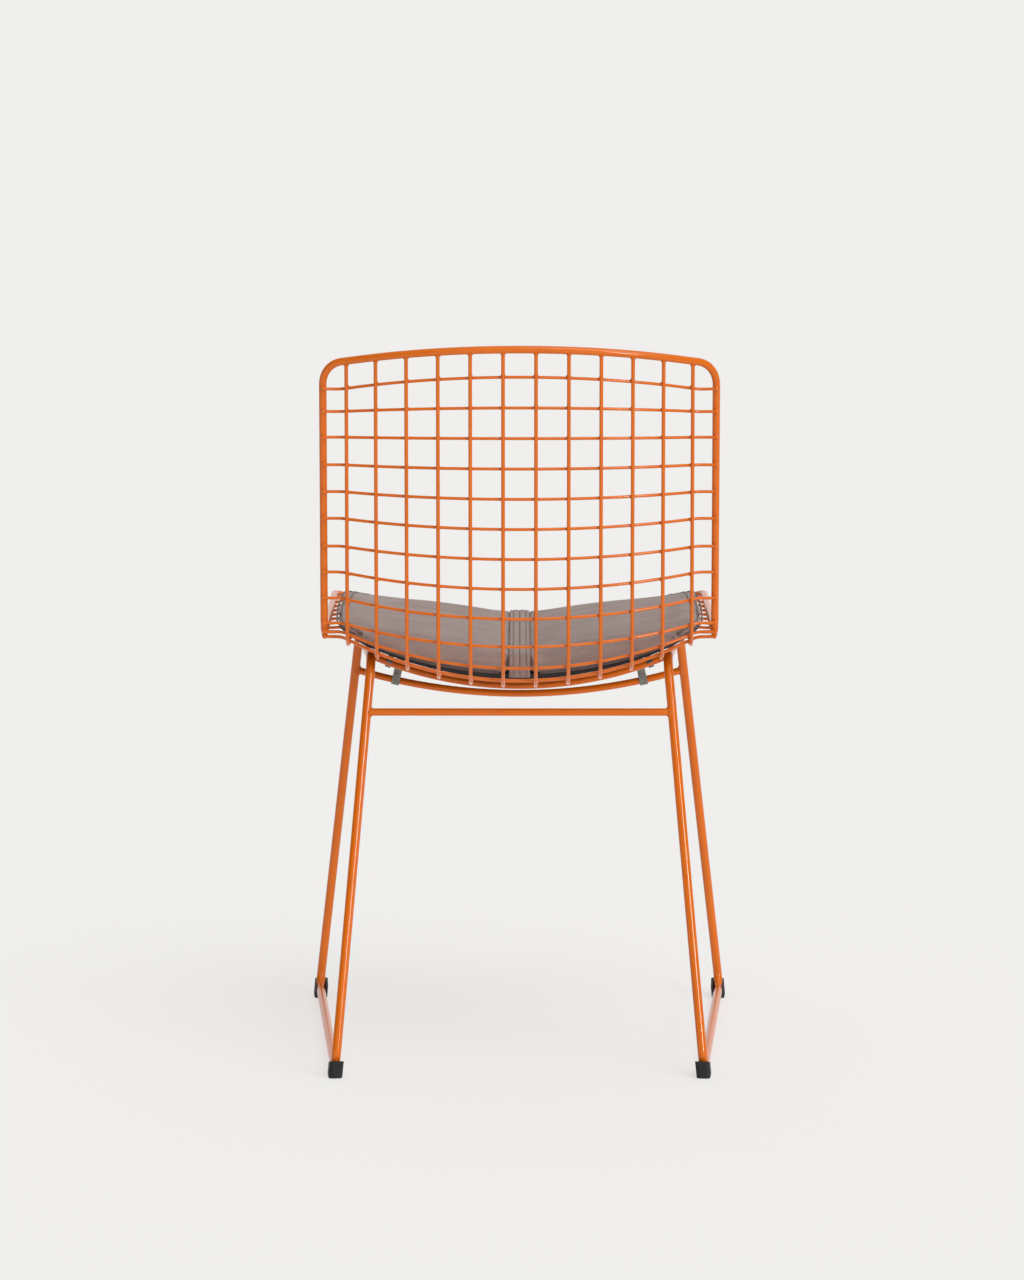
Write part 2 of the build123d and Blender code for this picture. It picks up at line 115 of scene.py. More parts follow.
class Wiring:
    """Adds nodes to a tree and links them."""

    def __init__(self, tree):
        self.tree = tree

    def add(self, kind, inputs=(), **settings):
        node = self.tree.nodes.new(kind)
        for name, value in settings.items():
            setattr(node, name, value)
        for name, value in dict(inputs).items():
            self.feed(node.inputs[name], value)
        return node

    def feed(self, socket, value):
        if isinstance(value, bpy.types.NodeSocket):
            self.tree.links.new(value, socket)
        else:
            socket.default_value = value

    def maths(self, operation, *values):
        node = self.tree.nodes.new("ShaderNodeMath")
        node.operation = operation
        for socket, value in zip(node.inputs, values):
            self.feed(socket, value)
        return node.outputs[0]

    def mix(self, factor, low, high):
        node = self.tree.nodes.new("ShaderNodeMix")
        node.data_type = "RGBA"
        self.feed(node.inputs["Factor"], factor)
        self.feed(node.inputs[6], low)
        self.feed(node.inputs[7], high)
        return node.outputs[2]

    def spread(self, value, low, high, to_low, to_high):
        node = self.add("ShaderNodeMapRange", {
            "Value": value, "From Min": low, "From Max": high, "To Min": to_low, "To Max": to_high})
        return node.outputs["Result"]


def shader_group(name, inputs, outputs):
    """Empty shader node group with named sockets."""
    tree = bpy.data.node_groups.new(name, "ShaderNodeTree")
    for label, kind, value in inputs:
        socket = tree.interface.new_socket(name=label, in_out="INPUT", socket_type=kind)
        socket.default_value = value
    for label, kind in outputs:
        tree.interface.new_socket(name=label, in_out="OUTPUT", socket_type=kind)
    wiring = Wiring(tree)
    return wiring, wiring.add("NodeGroupInput").outputs, wiring.add("NodeGroupOutput").inputs


FLOAT = "NodeSocketFloat"
COLOUR = "NodeSocketColor"
VECTOR = "NodeSocketVector"


def tone_drift_group():
    """Slow drift of a colour over the surface."""
    w, given, result = shader_group(
        "tone_drift",
        (("Color", COLOUR, (0.5, 0.5, 0.5, 1)), ("Amount", FLOAT, 0.1), ("Scale", FLOAT, 10.0)),
        (("Color", COLOUR),))
    place = w.add("ShaderNodeTexCoord").outputs["Object"]
    cloud = w.add("ShaderNodeTexNoise", {
        "Vector": place, "Scale": given["Scale"], "Detail": 3.0, "Roughness": 0.55})
    drift = w.spread(cloud.outputs[0], 0.3, 0.7, -1.0, 1.0)
    share = w.maths("MULTIPLY", drift, given["Amount"])
    value = w.maths("ADD", share, 1.0)
    node = w.add("ShaderNodeHueSaturation", {"Value": value, "Color": given["Color"]})
    w.feed(result["Color"], node.outputs[0])
    return w.tree


def fine_ripple_group():
    """Fine skin of a sprayed or moulded surface: a height and a mask."""
    w, given, result = shader_group(
        "fine_ripple",
        (("Scale", FLOAT, 900.0), ("Detail", FLOAT, 2.0), ("Stretch", VECTOR, (1, 1, 1))),
        (("Height", FLOAT), ("Mask", FLOAT)))
    place = w.add("ShaderNodeTexCoord").outputs["Object"]
    mapped = w.add("ShaderNodeMapping", {"Vector": place, "Scale": given["Stretch"]})
    fine = w.add("ShaderNodeTexNoise", {
        "Vector": mapped.outputs[0], "Scale": given["Scale"], "Detail": given["Detail"],
        "Roughness": 0.5})
    broad = w.add("ShaderNodeTexNoise", {
        "Vector": mapped.outputs[0], "Scale": w.maths("MULTIPLY", given["Scale"], 0.27), "Detail": 1.0})
    height = w.maths("ADD", fine.outputs[0], w.maths("MULTIPLY", broad.outputs[0], 0.8))
    w.feed(result["Height"], height)
    w.feed(result["Mask"], w.spread(broad.outputs[0], 0.35, 0.65, 0.0, 1.0))
    return w.tree


def settled_dust_group():
    """Thin dust on the faces that look upwards."""
    w, given, result = shader_group(
        "settled_dust",
        (("Color", COLOUR, (0.5, 0.5, 0.5, 1)), ("Dust", COLOUR, (0.6, 0.57, 0.52, 1)),
         ("Amount", FLOAT, 0.1)),
        (("Color", COLOUR),))
    normal = w.add("ShaderNodeNewGeometry").outputs["Normal"]
    up = w.add("ShaderNodeSeparateXYZ", {"Vector": normal}).outputs["Z"]
    place = w.add("ShaderNodeTexCoord").outputs["Object"]
    specks = w.add("ShaderNodeTexNoise", {
        "Vector": place, "Scale": 160.0, "Detail": 4.0, "Roughness": 0.7})
    lying = w.spread(up, 0.2, 1.0, 0.0, 1.0)
    mask = w.maths("MULTIPLY", lying, w.spread(specks.outputs[0], 0.35, 0.75, 0.0, 1.0))
    mask = w.maths("MULTIPLY", mask, given["Amount"])
    w.feed(result["Color"], w.mix(mask, given["Color"], given["Dust"]))
    return w.tree


def weave_group():
    """Plain weave: a height and a mask of the threads on top."""
    w, given, result = shader_group(
        "plain_weave", (("Pitch", FLOAT, 700.0),), (("Height", FLOAT), ("Mask", FLOAT)))
    place = w.add("ShaderNodeTexCoord").outputs["Object"]
    waves = []
    for axis in ("X", "Y"):
        wave = w.add("ShaderNodeTexWave", {
            "Vector": place, "Scale": given["Pitch"], "Distortion": 0.6, "Detail": 1.0,
            "Detail Scale": 0.4}, bands_direction=axis)
        waves.append(wave.outputs["Fac"])
    w.feed(result["Height"], w.maths("MAXIMUM", waves[0], waves[1]))
    w.feed(result["Mask"], w.maths("MULTIPLY", waves[0], waves[1]))
    return w.tree


tone_drift = tone_drift_group()
fine_ripple = fine_ripple_group()
settled_dust = settled_dust_group()
plain_weave = weave_group()


class Finish:
    """One material with its Principled shader and its wiring."""

    def __init__(self, name, **fixed):
        self.material = bpy.data.materials.new(name)
        self.material.use_nodes = True
        self.w = Wiring(self.material.node_tree)
        self.shader = self.material.node_tree.nodes["Principled BSDF"]
        for label, value in fixed.items():
            self.shader.inputs[label.replace("_", " ")].default_value = value

    def group(self, tree, **inputs):
        node = self.w.add("ShaderNodeGroup", node_tree=tree)
        for label, value in inputs.items():
            self.w.feed(node.inputs[label], value)
        return node.outputs

    def link(self, label, value):
        self.w.feed(self.shader.inputs[label], value)

    def bump(self, height, strength, distance):
        node = self.w.add("ShaderNodeBump", {"Height": height, "Strength": strength, "Distance": distance})
        self.link("Normal", node.outputs[0])


def powder_coat():
    """Glossy orange powder coat with a fine orange peel."""
    f = Finish("orange_powder_coat", Specular_IOR_Level=0.4)
    base = f.group(tone_drift, Color=srgb(212, 102, 4), Amount=0.05, Scale=14.0)
    dusted = f.group(settled_dust, Color=base["Color"], Dust=srgb(228, 150, 80), Amount=0.06)
    ripple = f.group(fine_ripple, Scale=1500.0, Detail=2.0)
    f.link("Base Color", dusted["Color"])
    f.link("Roughness", f.w.spread(ripple["Mask"], 0.0, 1.0, 0.09, 0.15))
    f.bump(ripple["Height"], 0.16, 0.0002)
    return f.material


def foot_rubber():
    """Black moulded rubber, matt, with pale scuffs."""
    f = Finish("black_rubber", Specular_IOR_Level=0.4)
    base = f.group(tone_drift, Color=srgb(20, 19, 19), Amount=0.2, Scale=60.0)
    dusted = f.group(settled_dust, Color=base["Color"], Dust=srgb(120, 114, 106), Amount=0.25)
    skin = f.group(fine_ripple, Scale=2200.0, Detail=3.0)
    f.link("Base Color", dusted["Color"])
    f.link("Roughness", f.w.spread(skin["Mask"], 0.0, 1.0, 0.5, 0.68))
    f.bump(skin["Height"], 0.25, 0.0003)
    return f.material


def clip_steel():
    """Plain steel strip, drawn along its length, slightly dull."""
    f = Finish("dull_steel", Metallic=1.0)
    base = f.group(tone_drift, Color=srgb(128, 126, 122), Amount=0.2, Scale=140.0)
    brush = f.group(fine_ripple, Scale=420.0, Detail=4.0, Stretch=(9.0, 1.0, 1.0))
    f.link("Base Color", base["Color"])
    f.link("Roughness", f.w.spread(brush["Mask"], 0.0, 1.0, 0.18, 0.36))
    f.bump(brush["Height"], 0.12, 0.0002)
    return f.material


def pad_leather():
    """Taupe leather: pebbled grain and long soft creases across the seat, smoother between them, with
    painted shade in the crease valleys and in the hollows of the grain.
    """
    f = Finish("taupe_leather", Specular_IOR_Level=0.35, Sheen_Weight=0.08, Sheen_Roughness=0.5)
    place = f.w.add("ShaderNodeTexCoord").outputs["Object"]
    base = f.group(tone_drift, Color=srgb(149, 126, 119), Amount=0.07, Scale=22.0)
    pebbles = f.w.add("ShaderNodeTexVoronoi", {"Vector": place, "Scale": 900.0, "Randomness": 0.9},
                      feature="DISTANCE_TO_EDGE")
    grain = f.w.spread(pebbles.outputs["Distance"], 0.0, 0.22, 0.0, 1.0)
    long_way = f.w.add("ShaderNodeMapping", {"Vector": place, "Scale": (10.0, 150.0, 60.0)})
    crease = f.w.add("ShaderNodeTexNoise", {
        "Vector": long_way.outputs[0], "Scale": 1.0, "Detail": 4.0, "Roughness": 0.6, "Distortion": 0.4})
    fold = f.w.spread(crease.outputs[0], 0.38, 0.62, 0.0, 1.0)
    dusted = f.group(settled_dust, Color=base["Color"], Dust=srgb(172, 156, 146), Amount=0.12)
    # Painted shade: the crease valleys are mixed towards a darker brown.
    crease_shaded = f.w.mix(f.w.spread(fold, 0.0, 0.35, 0.22, 0.0), dusted["Color"], srgb(96, 80, 72))
    # Painted shade: the hollows between the pebbles of the grain are mixed towards a darker brown.
    pore_shaded = f.w.mix(f.w.spread(grain, 0.0, 0.5, 0.25, 0.0), crease_shaded, srgb(92, 78, 71))
    f.link("Base Color", pore_shaded)
    f.link("Roughness", f.w.spread(fold, 0.0, 1.0, 0.62, 0.5))
    height = f.w.maths("ADD", f.w.maths("MULTIPLY", grain, 0.35), f.w.maths("MULTIPLY", fold, 0.9))
    f.bump(height, 0.35, 0.0006)
    return f.material


def pad_thread():
    """Brown sewing thread with its twist, with painted shade in the grooves between its strands."""
    f = Finish("brown_thread", Roughness=0.75, Sheen_Weight=0.15)
    base = f.group(tone_drift, Color=srgb(98, 72, 62), Amount=0.15, Scale=300.0)
    place = f.w.add("ShaderNodeTexCoord").outputs["Object"]
    twist = f.w.add("ShaderNodeTexWave", {"Vector": place, "Scale": 900.0, "Distortion": 1.0},
                    bands_direction="DIAGONAL")
    # Painted shade: the low bands of the twist are mixed towards a darker brown.
    groove_shade = f.w.spread(twist.outputs["Fac"], 0.0, 1.0, 0.3, 0.0)
    f.link("Base Color", f.w.mix(groove_shade, base["Color"], srgb(58, 42, 36)))
    f.bump(twist.outputs["Fac"], 0.4, 0.0002)
    return f.material


def welt_leather():
    """Leather of the edge welts and sewn lines, painted darker than the pad as the shade in the seam
    grooves.
    """
    f = Finish("welt_leather", Specular_IOR_Level=0.35)
    base = f.group(tone_drift, Color=srgb(92, 78, 72), Amount=0.12, Scale=60.0)
    skin = f.group(fine_ripple, Scale=1400.0, Detail=3.0)
    f.link("Base Color", base["Color"])
    f.link("Roughness", f.w.spread(skin["Mask"], 0.0, 1.0, 0.5, 0.66))
    f.bump(skin["Height"], 0.3, 0.0003)
    return f.material


def under_cloth():
    """Black woven cloth of the pad's underside, with a painted highlight on the threads that lie on top."""
    f = Finish("black_cloth", Roughness=0.9, Sheen_Weight=0.2, Sheen_Roughness=0.6)
    base = f.group(tone_drift, Color=srgb(27, 26, 27), Amount=0.2, Scale=30.0)
    weave = f.group(plain_weave, Pitch=420.0)
    # Painted highlight: where the threads cross on top, the cloth is mixed towards a paler grey.
    crown_highlight = f.w.spread(weave["Mask"], 0.0, 0.6, 0.0, 0.5)
    f.link("Base Color", f.w.mix(crown_highlight, base["Color"], srgb(52, 50, 50)))
    f.bump(weave["Height"], 0.5, 0.0004)
    return f.material


coat = powder_coat()
rubber = foot_rubber()
steel = clip_steel()
leather = pad_leather()
thread = pad_thread()
welt_seam_shade = welt_leather()
black_cloth = under_cloth()

for name, node in nodes.items():
    finish = coat
    if name.startswith("foot_"):
        finish = rubber
    elif "clip" in name:
        finish = steel
    elif name == "pad_underside":
        finish = black_cloth
    elif name.startswith("pad_"):
        finish = leather
    if not node.data.materials:
        node.data.materials.append(finish)
    for place in node.material_slots:
        place.material = finish


# Geometry Nodes helpers
def geometry_tree(name, inputs):
    """Geometry Nodes tree with a geometry input, named inputs and a geometry output."""
    tree = bpy.data.node_groups.new(name, "GeometryNodeTree")
    tree.is_modifier = True
    tree.interface.new_socket(name="Geometry", in_out="INPUT", socket_type="NodeSocketGeometry")
    for label, kind in inputs:
        tree.interface.new_socket(name=label, in_out="INPUT", socket_type=kind)
    tree.interface.new_socket(name="Geometry", in_out="OUTPUT", socket_type="NodeSocketGeometry")
    wiring = Wiring(tree)
    return wiring, wiring.add("NodeGroupInput").outputs, wiring.add("NodeGroupOutput").inputs


def new_object(name, mesh):
    """Object at the origin that holds this mesh."""
    piece = bpy.data.objects.new(name, mesh)
    scene.collection.objects.link(piece)
    return piece


def settled(piece):
    """Replaces the piece's mesh by what its modifiers make of it."""
    bpy.context.view_layer.update()
    deps = bpy.context.evaluated_depsgraph_get()
    made = bpy.data.meshes.new_from_object(
        piece.evaluated_get(deps), preserve_all_data_layers=True, depsgraph=deps)
    made.name = piece.name
    piece.modifiers.clear()
    old = piece.data
    piece.data = made
    bpy.data.meshes.remove(old)
    return piece


def grown(piece, tree, **values):
    """Runs a geometry tree on the piece with its inputs set, and keeps the result as a plain mesh."""
    step = piece.modifiers.new(tree.name, "NODES")
    step.node_group = tree
    for socket in tree.interface.items_tree:
        label = socket.name.replace(" ", "_")
        if socket.in_out == "INPUT" and label in values:
            step[socket.identifier] = values[label]
    return settled(piece)


def weld_tree():
    """A lumpy bead on every point, turned and sized by the point's own attributes."""
    w, given, result = geometry_tree("weld_beads", (
        ("Segments", "NodeSocketInt"), ("Rings", "NodeSocketInt"), ("Lumps", FLOAT), ("Lump Scale", FLOAT),
        ("Material", "NodeSocketMaterial")))
    ball = w.add("GeometryNodeMeshUVSphere", {
        "Segments": given["Segments"], "Rings": given["Rings"], "Radius": 1.0})
    turned = w.add("GeometryNodeInputNamedAttribute", {"Name": "turn"}, data_type="FLOAT_VECTOR")
    angle = w.add("FunctionNodeEulerToRotation", {"Euler": turned.outputs["Attribute"]})
    span = w.add("GeometryNodeInputNamedAttribute", {"Name": "span"}, data_type="FLOAT_VECTOR")
    beads = w.add("GeometryNodeInstanceOnPoints", {
        "Points": given["Geometry"], "Instance": ball.outputs["Mesh"],
        "Rotation": angle.outputs["Rotation"], "Scale": span.outputs["Attribute"]})
    real = w.add("GeometryNodeRealizeInstances", {"Geometry": beads.outputs["Instances"]})
    lumps = w.add("ShaderNodeTexNoise", {"Scale": given["Lump Scale"], "Detail": 1.0})
    where = w.add("GeometryNodeInputPosition")
    w.feed(lumps.inputs["Vector"], where.outputs[0])
    size = w.maths("MULTIPLY", w.maths("SUBTRACT", lumps.outputs[0], 0.5), given["Lumps"])
    normal = w.add("GeometryNodeInputNormal")
    push = w.add("ShaderNodeVectorMath", {0: normal.outputs[0]}, operation="SCALE")
    w.feed(push.inputs["Scale"], size)
    moved = w.add("GeometryNodeSetPosition", {"Geometry": real.outputs[0], "Offset": push.outputs[0]})
    smooth = w.add("GeometryNodeSetShadeSmooth", {"Geometry": moved.outputs[0]})
    dressed = w.add("GeometryNodeSetMaterial", {
        "Geometry": smooth.outputs[0], "Material": given["Material"]})
    w.feed(result["Geometry"], dressed.outputs[0])
    return w.tree


def stitch_tree():
    """Short threads laid end to end along the drawn lines."""
    w, given, result = geometry_tree("stitch_rows", (
        ("Pitch", FLOAT), ("Length", FLOAT), ("Width", FLOAT), ("Material", "NodeSocketMaterial")))
    line = w.add("GeometryNodeMeshToCurve", {"Mesh": given["Geometry"]})
    even = w.add("GeometryNodeResampleCurve", {
        "Curve": line.outputs[0], "Length": given["Pitch"]}, mode="LENGTH")
    marks = w.add("GeometryNodeCurveToPoints", {"Curve": even.outputs[0]}, mode="EVALUATED")
    bead = w.add("GeometryNodeMeshUVSphere", {"Segments": 8, "Rings": 6, "Radius": 0.5})
    size = w.add("ShaderNodeCombineXYZ", {"X": given["Width"], "Y": given["Width"], "Z": given["Length"]})
    laid = w.add("FunctionNodeAlignRotationToVector", {"Vector": marks.outputs["Tangent"]}, axis="Z")
    sewn = w.add("GeometryNodeInstanceOnPoints", {
        "Points": marks.outputs["Points"], "Instance": bead.outputs["Mesh"],
        "Rotation": laid.outputs[0], "Scale": size.outputs[0]})
    real = w.add("GeometryNodeRealizeInstances", {"Geometry": sewn.outputs["Instances"]})
    smooth = w.add("GeometryNodeSetShadeSmooth", {"Geometry": real.outputs[0]})
    dressed = w.add("GeometryNodeSetMaterial", {
        "Geometry": smooth.outputs[0], "Material": given["Material"]})
    w.feed(result["Geometry"], dressed.outputs[0])
    return w.tree


def welt_tree():
    """Round welt that follows the drawn lines."""
    w, given, result = geometry_tree("edge_welt", (("Width", FLOAT), ("Material", "NodeSocketMaterial")))
    line = w.add("GeometryNodeMeshToCurve", {"Mesh": given["Geometry"]})
    half = w.maths("MULTIPLY", given["Width"], 0.5)
    section = w.add("GeometryNodeCurvePrimitiveCircle", {"Resolution": 8, "Radius": half}, mode="RADIUS")
    tube = w.add("GeometryNodeCurveToMesh", {
        "Curve": line.outputs[0], "Profile Curve": section.outputs[0], "Fill Caps": True})
    smooth = w.add("GeometryNodeSetShadeSmooth", {"Geometry": tube.outputs[0]})
    real = w.add("GeometryNodeRealizeInstances", {"Geometry": smooth.outputs[0]})
    dressed = w.add("GeometryNodeSetMaterial", {
        "Geometry": real.outputs[0], "Material": given["Material"]})
    w.feed(result["Geometry"], dressed.outputs[0])
    return w.tree


weld_beads = weld_tree()
stitch_rows = stitch_tree()
edge_welt = welt_tree()


# Welds: a bead's size is along, across and above the place it sits on
LUMP_SCALE = 420.0
CROSSING_BEAD = (0.0026, 0.0028, 0.0013)
CROSSING_WANDER = 0.0004
LONG_END_BEAD = (0.0030, 0.0030, 0.0018)
LONG_END_WANDER = 0.0003
CROSS_END_BEAD = (0.0033, 0.0027, 0.0012)
CROSS_TIP_BEAD = (0.0022, 0.0023, 0.0023)
CROSS_TIP_OUT = 0.0003
CROSS_END_DEPTH = 0.0018
BEAD_LIFT = 0.0002
BAR_BEAD = (0.0012, 0.0015, 0.0011)
BAR_BEADS = 20
BAR_END_DEPTH = 0.004
BAR_RUN_DEPTH = 0.03
BAR_SET_BACK = 0.014
BAR_BEAD_LIFT = 0.0004
HALVINGS = 40
TANGENT_STEP = 0.01


def facing(normal, along):
    """Euler angles that turn Z to the normal and X towards a direction."""
    z = normal.normalized()
    x = (along - z * along.dot(z)).normalized()
    y = z.cross(x)
    return Matrix((x, y, z)).transposed().to_euler()


def bead_points(name, beads):
    """Mesh of loose points that carry each bead's turn and size."""
    mesh = bpy.data.meshes.new(name)
    mesh.from_pydata([place for place, _, _ in beads], [], [])
    turns = mesh.attributes.new("turn", "FLOAT_VECTOR", "POINT")
    spans = mesh.attributes.new("span", "FLOAT_VECTOR", "POINT")
    turns.data.foreach_set("vector", [a for _, angle, _ in beads for a in angle])
    spans.data.foreach_set("vector", [s for _, _, span in beads for s in span])
    return new_object(name, mesh)


def weld_piece(name, beads, segments, rings, lumps):
    """One piece that holds these beads, in the chair's own paint."""
    piece = bead_points(name, beads)
    grown(piece, weld_beads, Segments=segments, Rings=rings, Lumps=lumps, Lump_Scale=LUMP_SCALE,
          Material=coat)
    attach(piece, "chair_frame")


def station(u):
    """Point, inward normal and run of the shell's middle, u along it from the top rim."""
    if u <= back_run:
        return shell_corner + back_up * (top_t - u), back_in, -back_up
    if u <= back_run + bend_run:
        a = (u - back_run) / SHELL_BEND
        inward = back_in * cos(a) + back_up * sin(a)
        return bend_axis - inward * SHELL_BEND, inward, -back_up * cos(a) + back_in * sin(a)
    return shell_corner + seat_out * (u - back_run - bend_run + bend_reach), seat_up, seat_out


def cross_station(j):
    """Where cross wire j crosses the shell's middle."""
    if j < BACK_WIRES:
        return station(FIRST_CROSS + j * BACK_PITCH)
    return station(back_run + bend_run + (j - BACK_WIRES) * SEAT_PITCH)


class LongWire:
    """Centre line of one long wire: straight, bend and straight."""

    def __init__(self, i):
        def across(rim_half):
            share = 2 * i / (LONG_WIRES - 1) - 1
            return SHELL_RADIUS * sin(share * asin((rim_half - WIRE_EDGE) / SHELL_RADIUS))

        x_top, x_bend, x_front = across(RIM_HALF_TOP), across(RIM_HALF_BEND), across(RIM_HALF_FRONT)
        n_top, n_bend, n_front = (rise(SHELL_RADIUS, x) for x in (x_top, x_bend, x_front))
        top_fall = TOP_ARCH / rise(SHELL_RADIUS, RIM_HALF_TOP)
        front_fall = FRONT_BOW / rise(SHELL_RADIUS, RIM_HALF_FRONT)
        front_s = bend_reach + SEAT_REACH
        self.top = shell_corner + back_up * (top_t - top_fall * n_top) + X * x_top + back_in * n_top
        front_run = front_s - front_fall * n_front
        self.front = shell_corner + seat_out * front_run + X * x_front + seat_up * n_front
        corner = shell_corner + X * x_bend + corner_in * n_bend
        self.radius = SHELL_BEND - n_bend
        a = (self.top - corner).normalized()
        b = (self.front - corner).normalized()
        half = acos(a.dot(b)) / 2
        self.start = corner + a * (self.radius / tan(half))
        self.end = corner + b * (self.radius / tan(half))
        self.centre = corner + (a + b).normalized() * (self.radius / sin(half))
        self.spokes = ((self.start - self.centre).normalized(), (self.end - self.centre).normalized())

    def at(self, share):
        """Point of the wire: 0 to 1 down the back, 1 to 2 round the bend, 2 to 3 under the seat."""
        if share <= 1:
            return self.top.lerp(self.start, share)
        if share <= 2:
            return self.centre + self.spokes[0].slerp(self.spokes[1], share - 1) * self.radius
        return self.end.lerp(self.front, share - 2)


long_wires = [LongWire(i) for i in range(LONG_WIRES)]


def crossing_beads():
    """A weld between every long wire and every cross wire."""
    beads = []
    for j in range(BACK_WIRES + SEAT_WIRES):
        origin, inward, run = cross_station(j)
        k = (BACK_ARCH[j] if j < len(BACK_ARCH) else 0.0) / rise(SHELL_RADIUS, RIM_HALF_BEND)
        normal = run - inward * k
        middle = origin + inward * cross_in
        for i, wire in enumerate(long_wires):
            low, high = 0.0, 3.0
            for _ in range(HALVINGS):
                share = (low + high) / 2
                if (wire.at(share) - middle).dot(normal) < 0:
                    low = share
                else:
                    high = share
            place = wire.at(low)
            lean_in = asin(place.x / SHELL_RADIUS)
            out = inward * cos(lean_in) - X * sin(lean_in)
            along = wire.at(min(low + TANGENT_STEP, 3.0)) - wire.at(max(low - TANGENT_STEP, 0.0))
            wander = CROSSING_WANDER * noise.noise((i * 1.7, j * 2.3, 0.4))
            length, width, height = CROSSING_BEAD
            span = (length + wander, width - wander, height)
            beads.append((place + out * (LONG_WIRE / 2 + WELD_GAP / 2), facing(out, along), span))
    return beads


def search_tree(piece):
    """Search tree of a CAD node or a finished piece."""
    mesh = piece.data
    return BVHTree.FromPolygons([v.co for v in mesh.vertices], [p.vertices for p in mesh.polygons])


def end_centre(name, direction, depth):
    """Middle of a node's points within a depth of its furthest one in a direction."""
    reach = [(v.co.dot(direction), v.co) for v in nodes[name].data.vertices]
    limit = max(r for r, _ in reach) - depth
    chosen = [co for r, co in reach if r >= limit]
    return sum(chosen, Vector()) / len(chosen)


def rim_beads():
    """Welds of the wire ends on the rim: a flare at each long wire, a dab and a tip at each cross wire."""
    rim = search_tree(nodes["shell_rim"])
    beads = []
    for i, wire in enumerate(long_wires):
        for place, inner in ((wire.top, wire.start), (wire.front, wire.end)):
            down = (inner - place).normalized()
            length, width, height = LONG_END_BEAD
            span = (length, width, height + LONG_END_WANDER * noise.noise((i, 0.3, place.z)))
            beads.append((place + down * (RIM_BAR / 2 + BEAD_LIFT), facing(down, X), span))
    for j in range(BACK_WIRES + SEAT_WIRES):
        name = f"cross_wire_{j + 1:02d}"
        middle = sum(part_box(name), Vector()) / 2
        for side in (1, -1):
            end = end_centre(name, X * side, CROSS_END_DEPTH)
            contact, normal, _, _ = rim.find_nearest(end)
            angle = facing(normal, end - middle)
            beads.append((contact + normal * BEAD_LIFT, angle, CROSS_END_BEAD))
            beads.append((end + X * side * CROSS_TIP_OUT, angle, CROSS_TIP_BEAD))
    return beads


def bar_beads():
    """Rings of overlapping beads where the tie bars meet the side frames."""
    beads = []
    for name in ("back_tie", "rear_seat_bar", "front_seat_bar"):
        for side, frame_name in ((1, "side_frame_right"), (-1, "side_frame_left")):
            leg = search_tree(nodes[frame_name])
            end = end_centre(name, X * side, BAR_END_DEPTH)
            axis = X * side
            if name != "back_tie":
                inner = end_centre(name, X * side, BAR_RUN_DEPTH)
                axis = (end - inner).normalized()
            up = seat_up - axis * seat_up.dot(axis)
            up.normalize()
            over = axis.cross(up)
            for step in range(BAR_BEADS):
                angle = 2 * pi * step / BAR_BEADS
                out = up * cos(angle) + over * sin(angle)
                source = end - axis * BAR_SET_BACK + out * (TIE_BAR / 2 + BAR_BEAD_LIFT)
                hit, normal, _, _ = leg.ray_cast(source, axis)
                if hit is None:
                    continue
                lift = (out + normal).normalized()
                beads.append((hit, facing(lift, axis.cross(out)), BAR_BEAD))
    return beads


weld_piece("crossing_welds", crossing_beads(), segments=10, rings=6, lumps=0.0006)
weld_piece("rim_welds", rim_beads(), segments=12, rings=7, lumps=0.0008)
weld_piece("bar_welds", bar_beads(), segments=10, rings=6, lumps=0.0005)

# Seat pad: x runs across it, s from its rear edge to its front and h up from the cushions' underside
cloth_in = LONG_WIRE / 2 + WELD_GAP + CROSS_WIRE + PAD_GAP
panel_in = cloth_in + PAD_CLOTH + SEWN_GAP
pad_length = (PAD_FRONT - PAD_REAR) / cos(tilt)
pad_origin = shell_corner + seat_out * ((shell_corner.y - Y_SHIFT + PAD_REAR) / cos(tilt))
STRIP_EDGE = PAD_STRIP / 2 + SEWN_GAP
REAR_ROUND = 0.048
FRONT_ROUND = 0.066
INNER_ROUND = 0.006
SIDE_BULGE = 0.006
CROWN = 0.0245
FULLNESS = 0.0048
FALL = 0.0178
CORNER_FALL = 0.0065
PILLOW_EDGE = 0.022
UNDER_EDGE = 0.006
SEWN_EDGE = 0.003
SEWN_REACH = 0.012
SEWN_FADE = 0.010
SEAM_SHARE = 0.42
SEWN_SHARE = 0.50
FULLNESS_REACH = 1.35
FALL_POWER = 2.1
CORNER_FROM = 0.68
CORNER_RUN = 0.32
BASE_BAND = 0.0032
BASE_HALF = 0.16
BASE_EDGE = 0.0006
OUTLINE_STEP = 0.006
CORNER_STEPS = 10
CUSHION_INSET = 0.003
CUSHION_RINGS = 24
# Filling of the cushions
VOXEL = 0.0042
SWELL_FRAMES = 20
SWELL_MOST = 0.004
HELD_HEIGHT = 0.0025
HELD_WIDTH = 0.006
CREASE_FROM = 0.003
CREASE_HEIGHT = 0.0005
# Sewn strip and its stitches
STRIP_BEND = 0.010
STRIP_SUNK = 0.0004
STRIP_REAR = -0.003
STRIP_SHORT = 0.002
STRIP_FOOT = 0.0012
STRIP_BEND_PARTS = 8
STRIP_TOP_PARTS = 48
STRIP_OVERLAP = 0.0019
BAND_PARTS = 32
BAND_ROLL = 0.0040
BAND_THICK = 0.0024
BAND_BACK = 0.0012
GROOVE_DEPTH = 0.0011
GROOVE_HALF = 0.0014
STITCH_ROWS = (-0.007, 0.0, 0.007)
STITCH_LEVEL = 0.0014
STITCH_PITCH = 0.0042
STITCH_LENGTH = 0.0037
STITCH_WIDTH = 0.0010
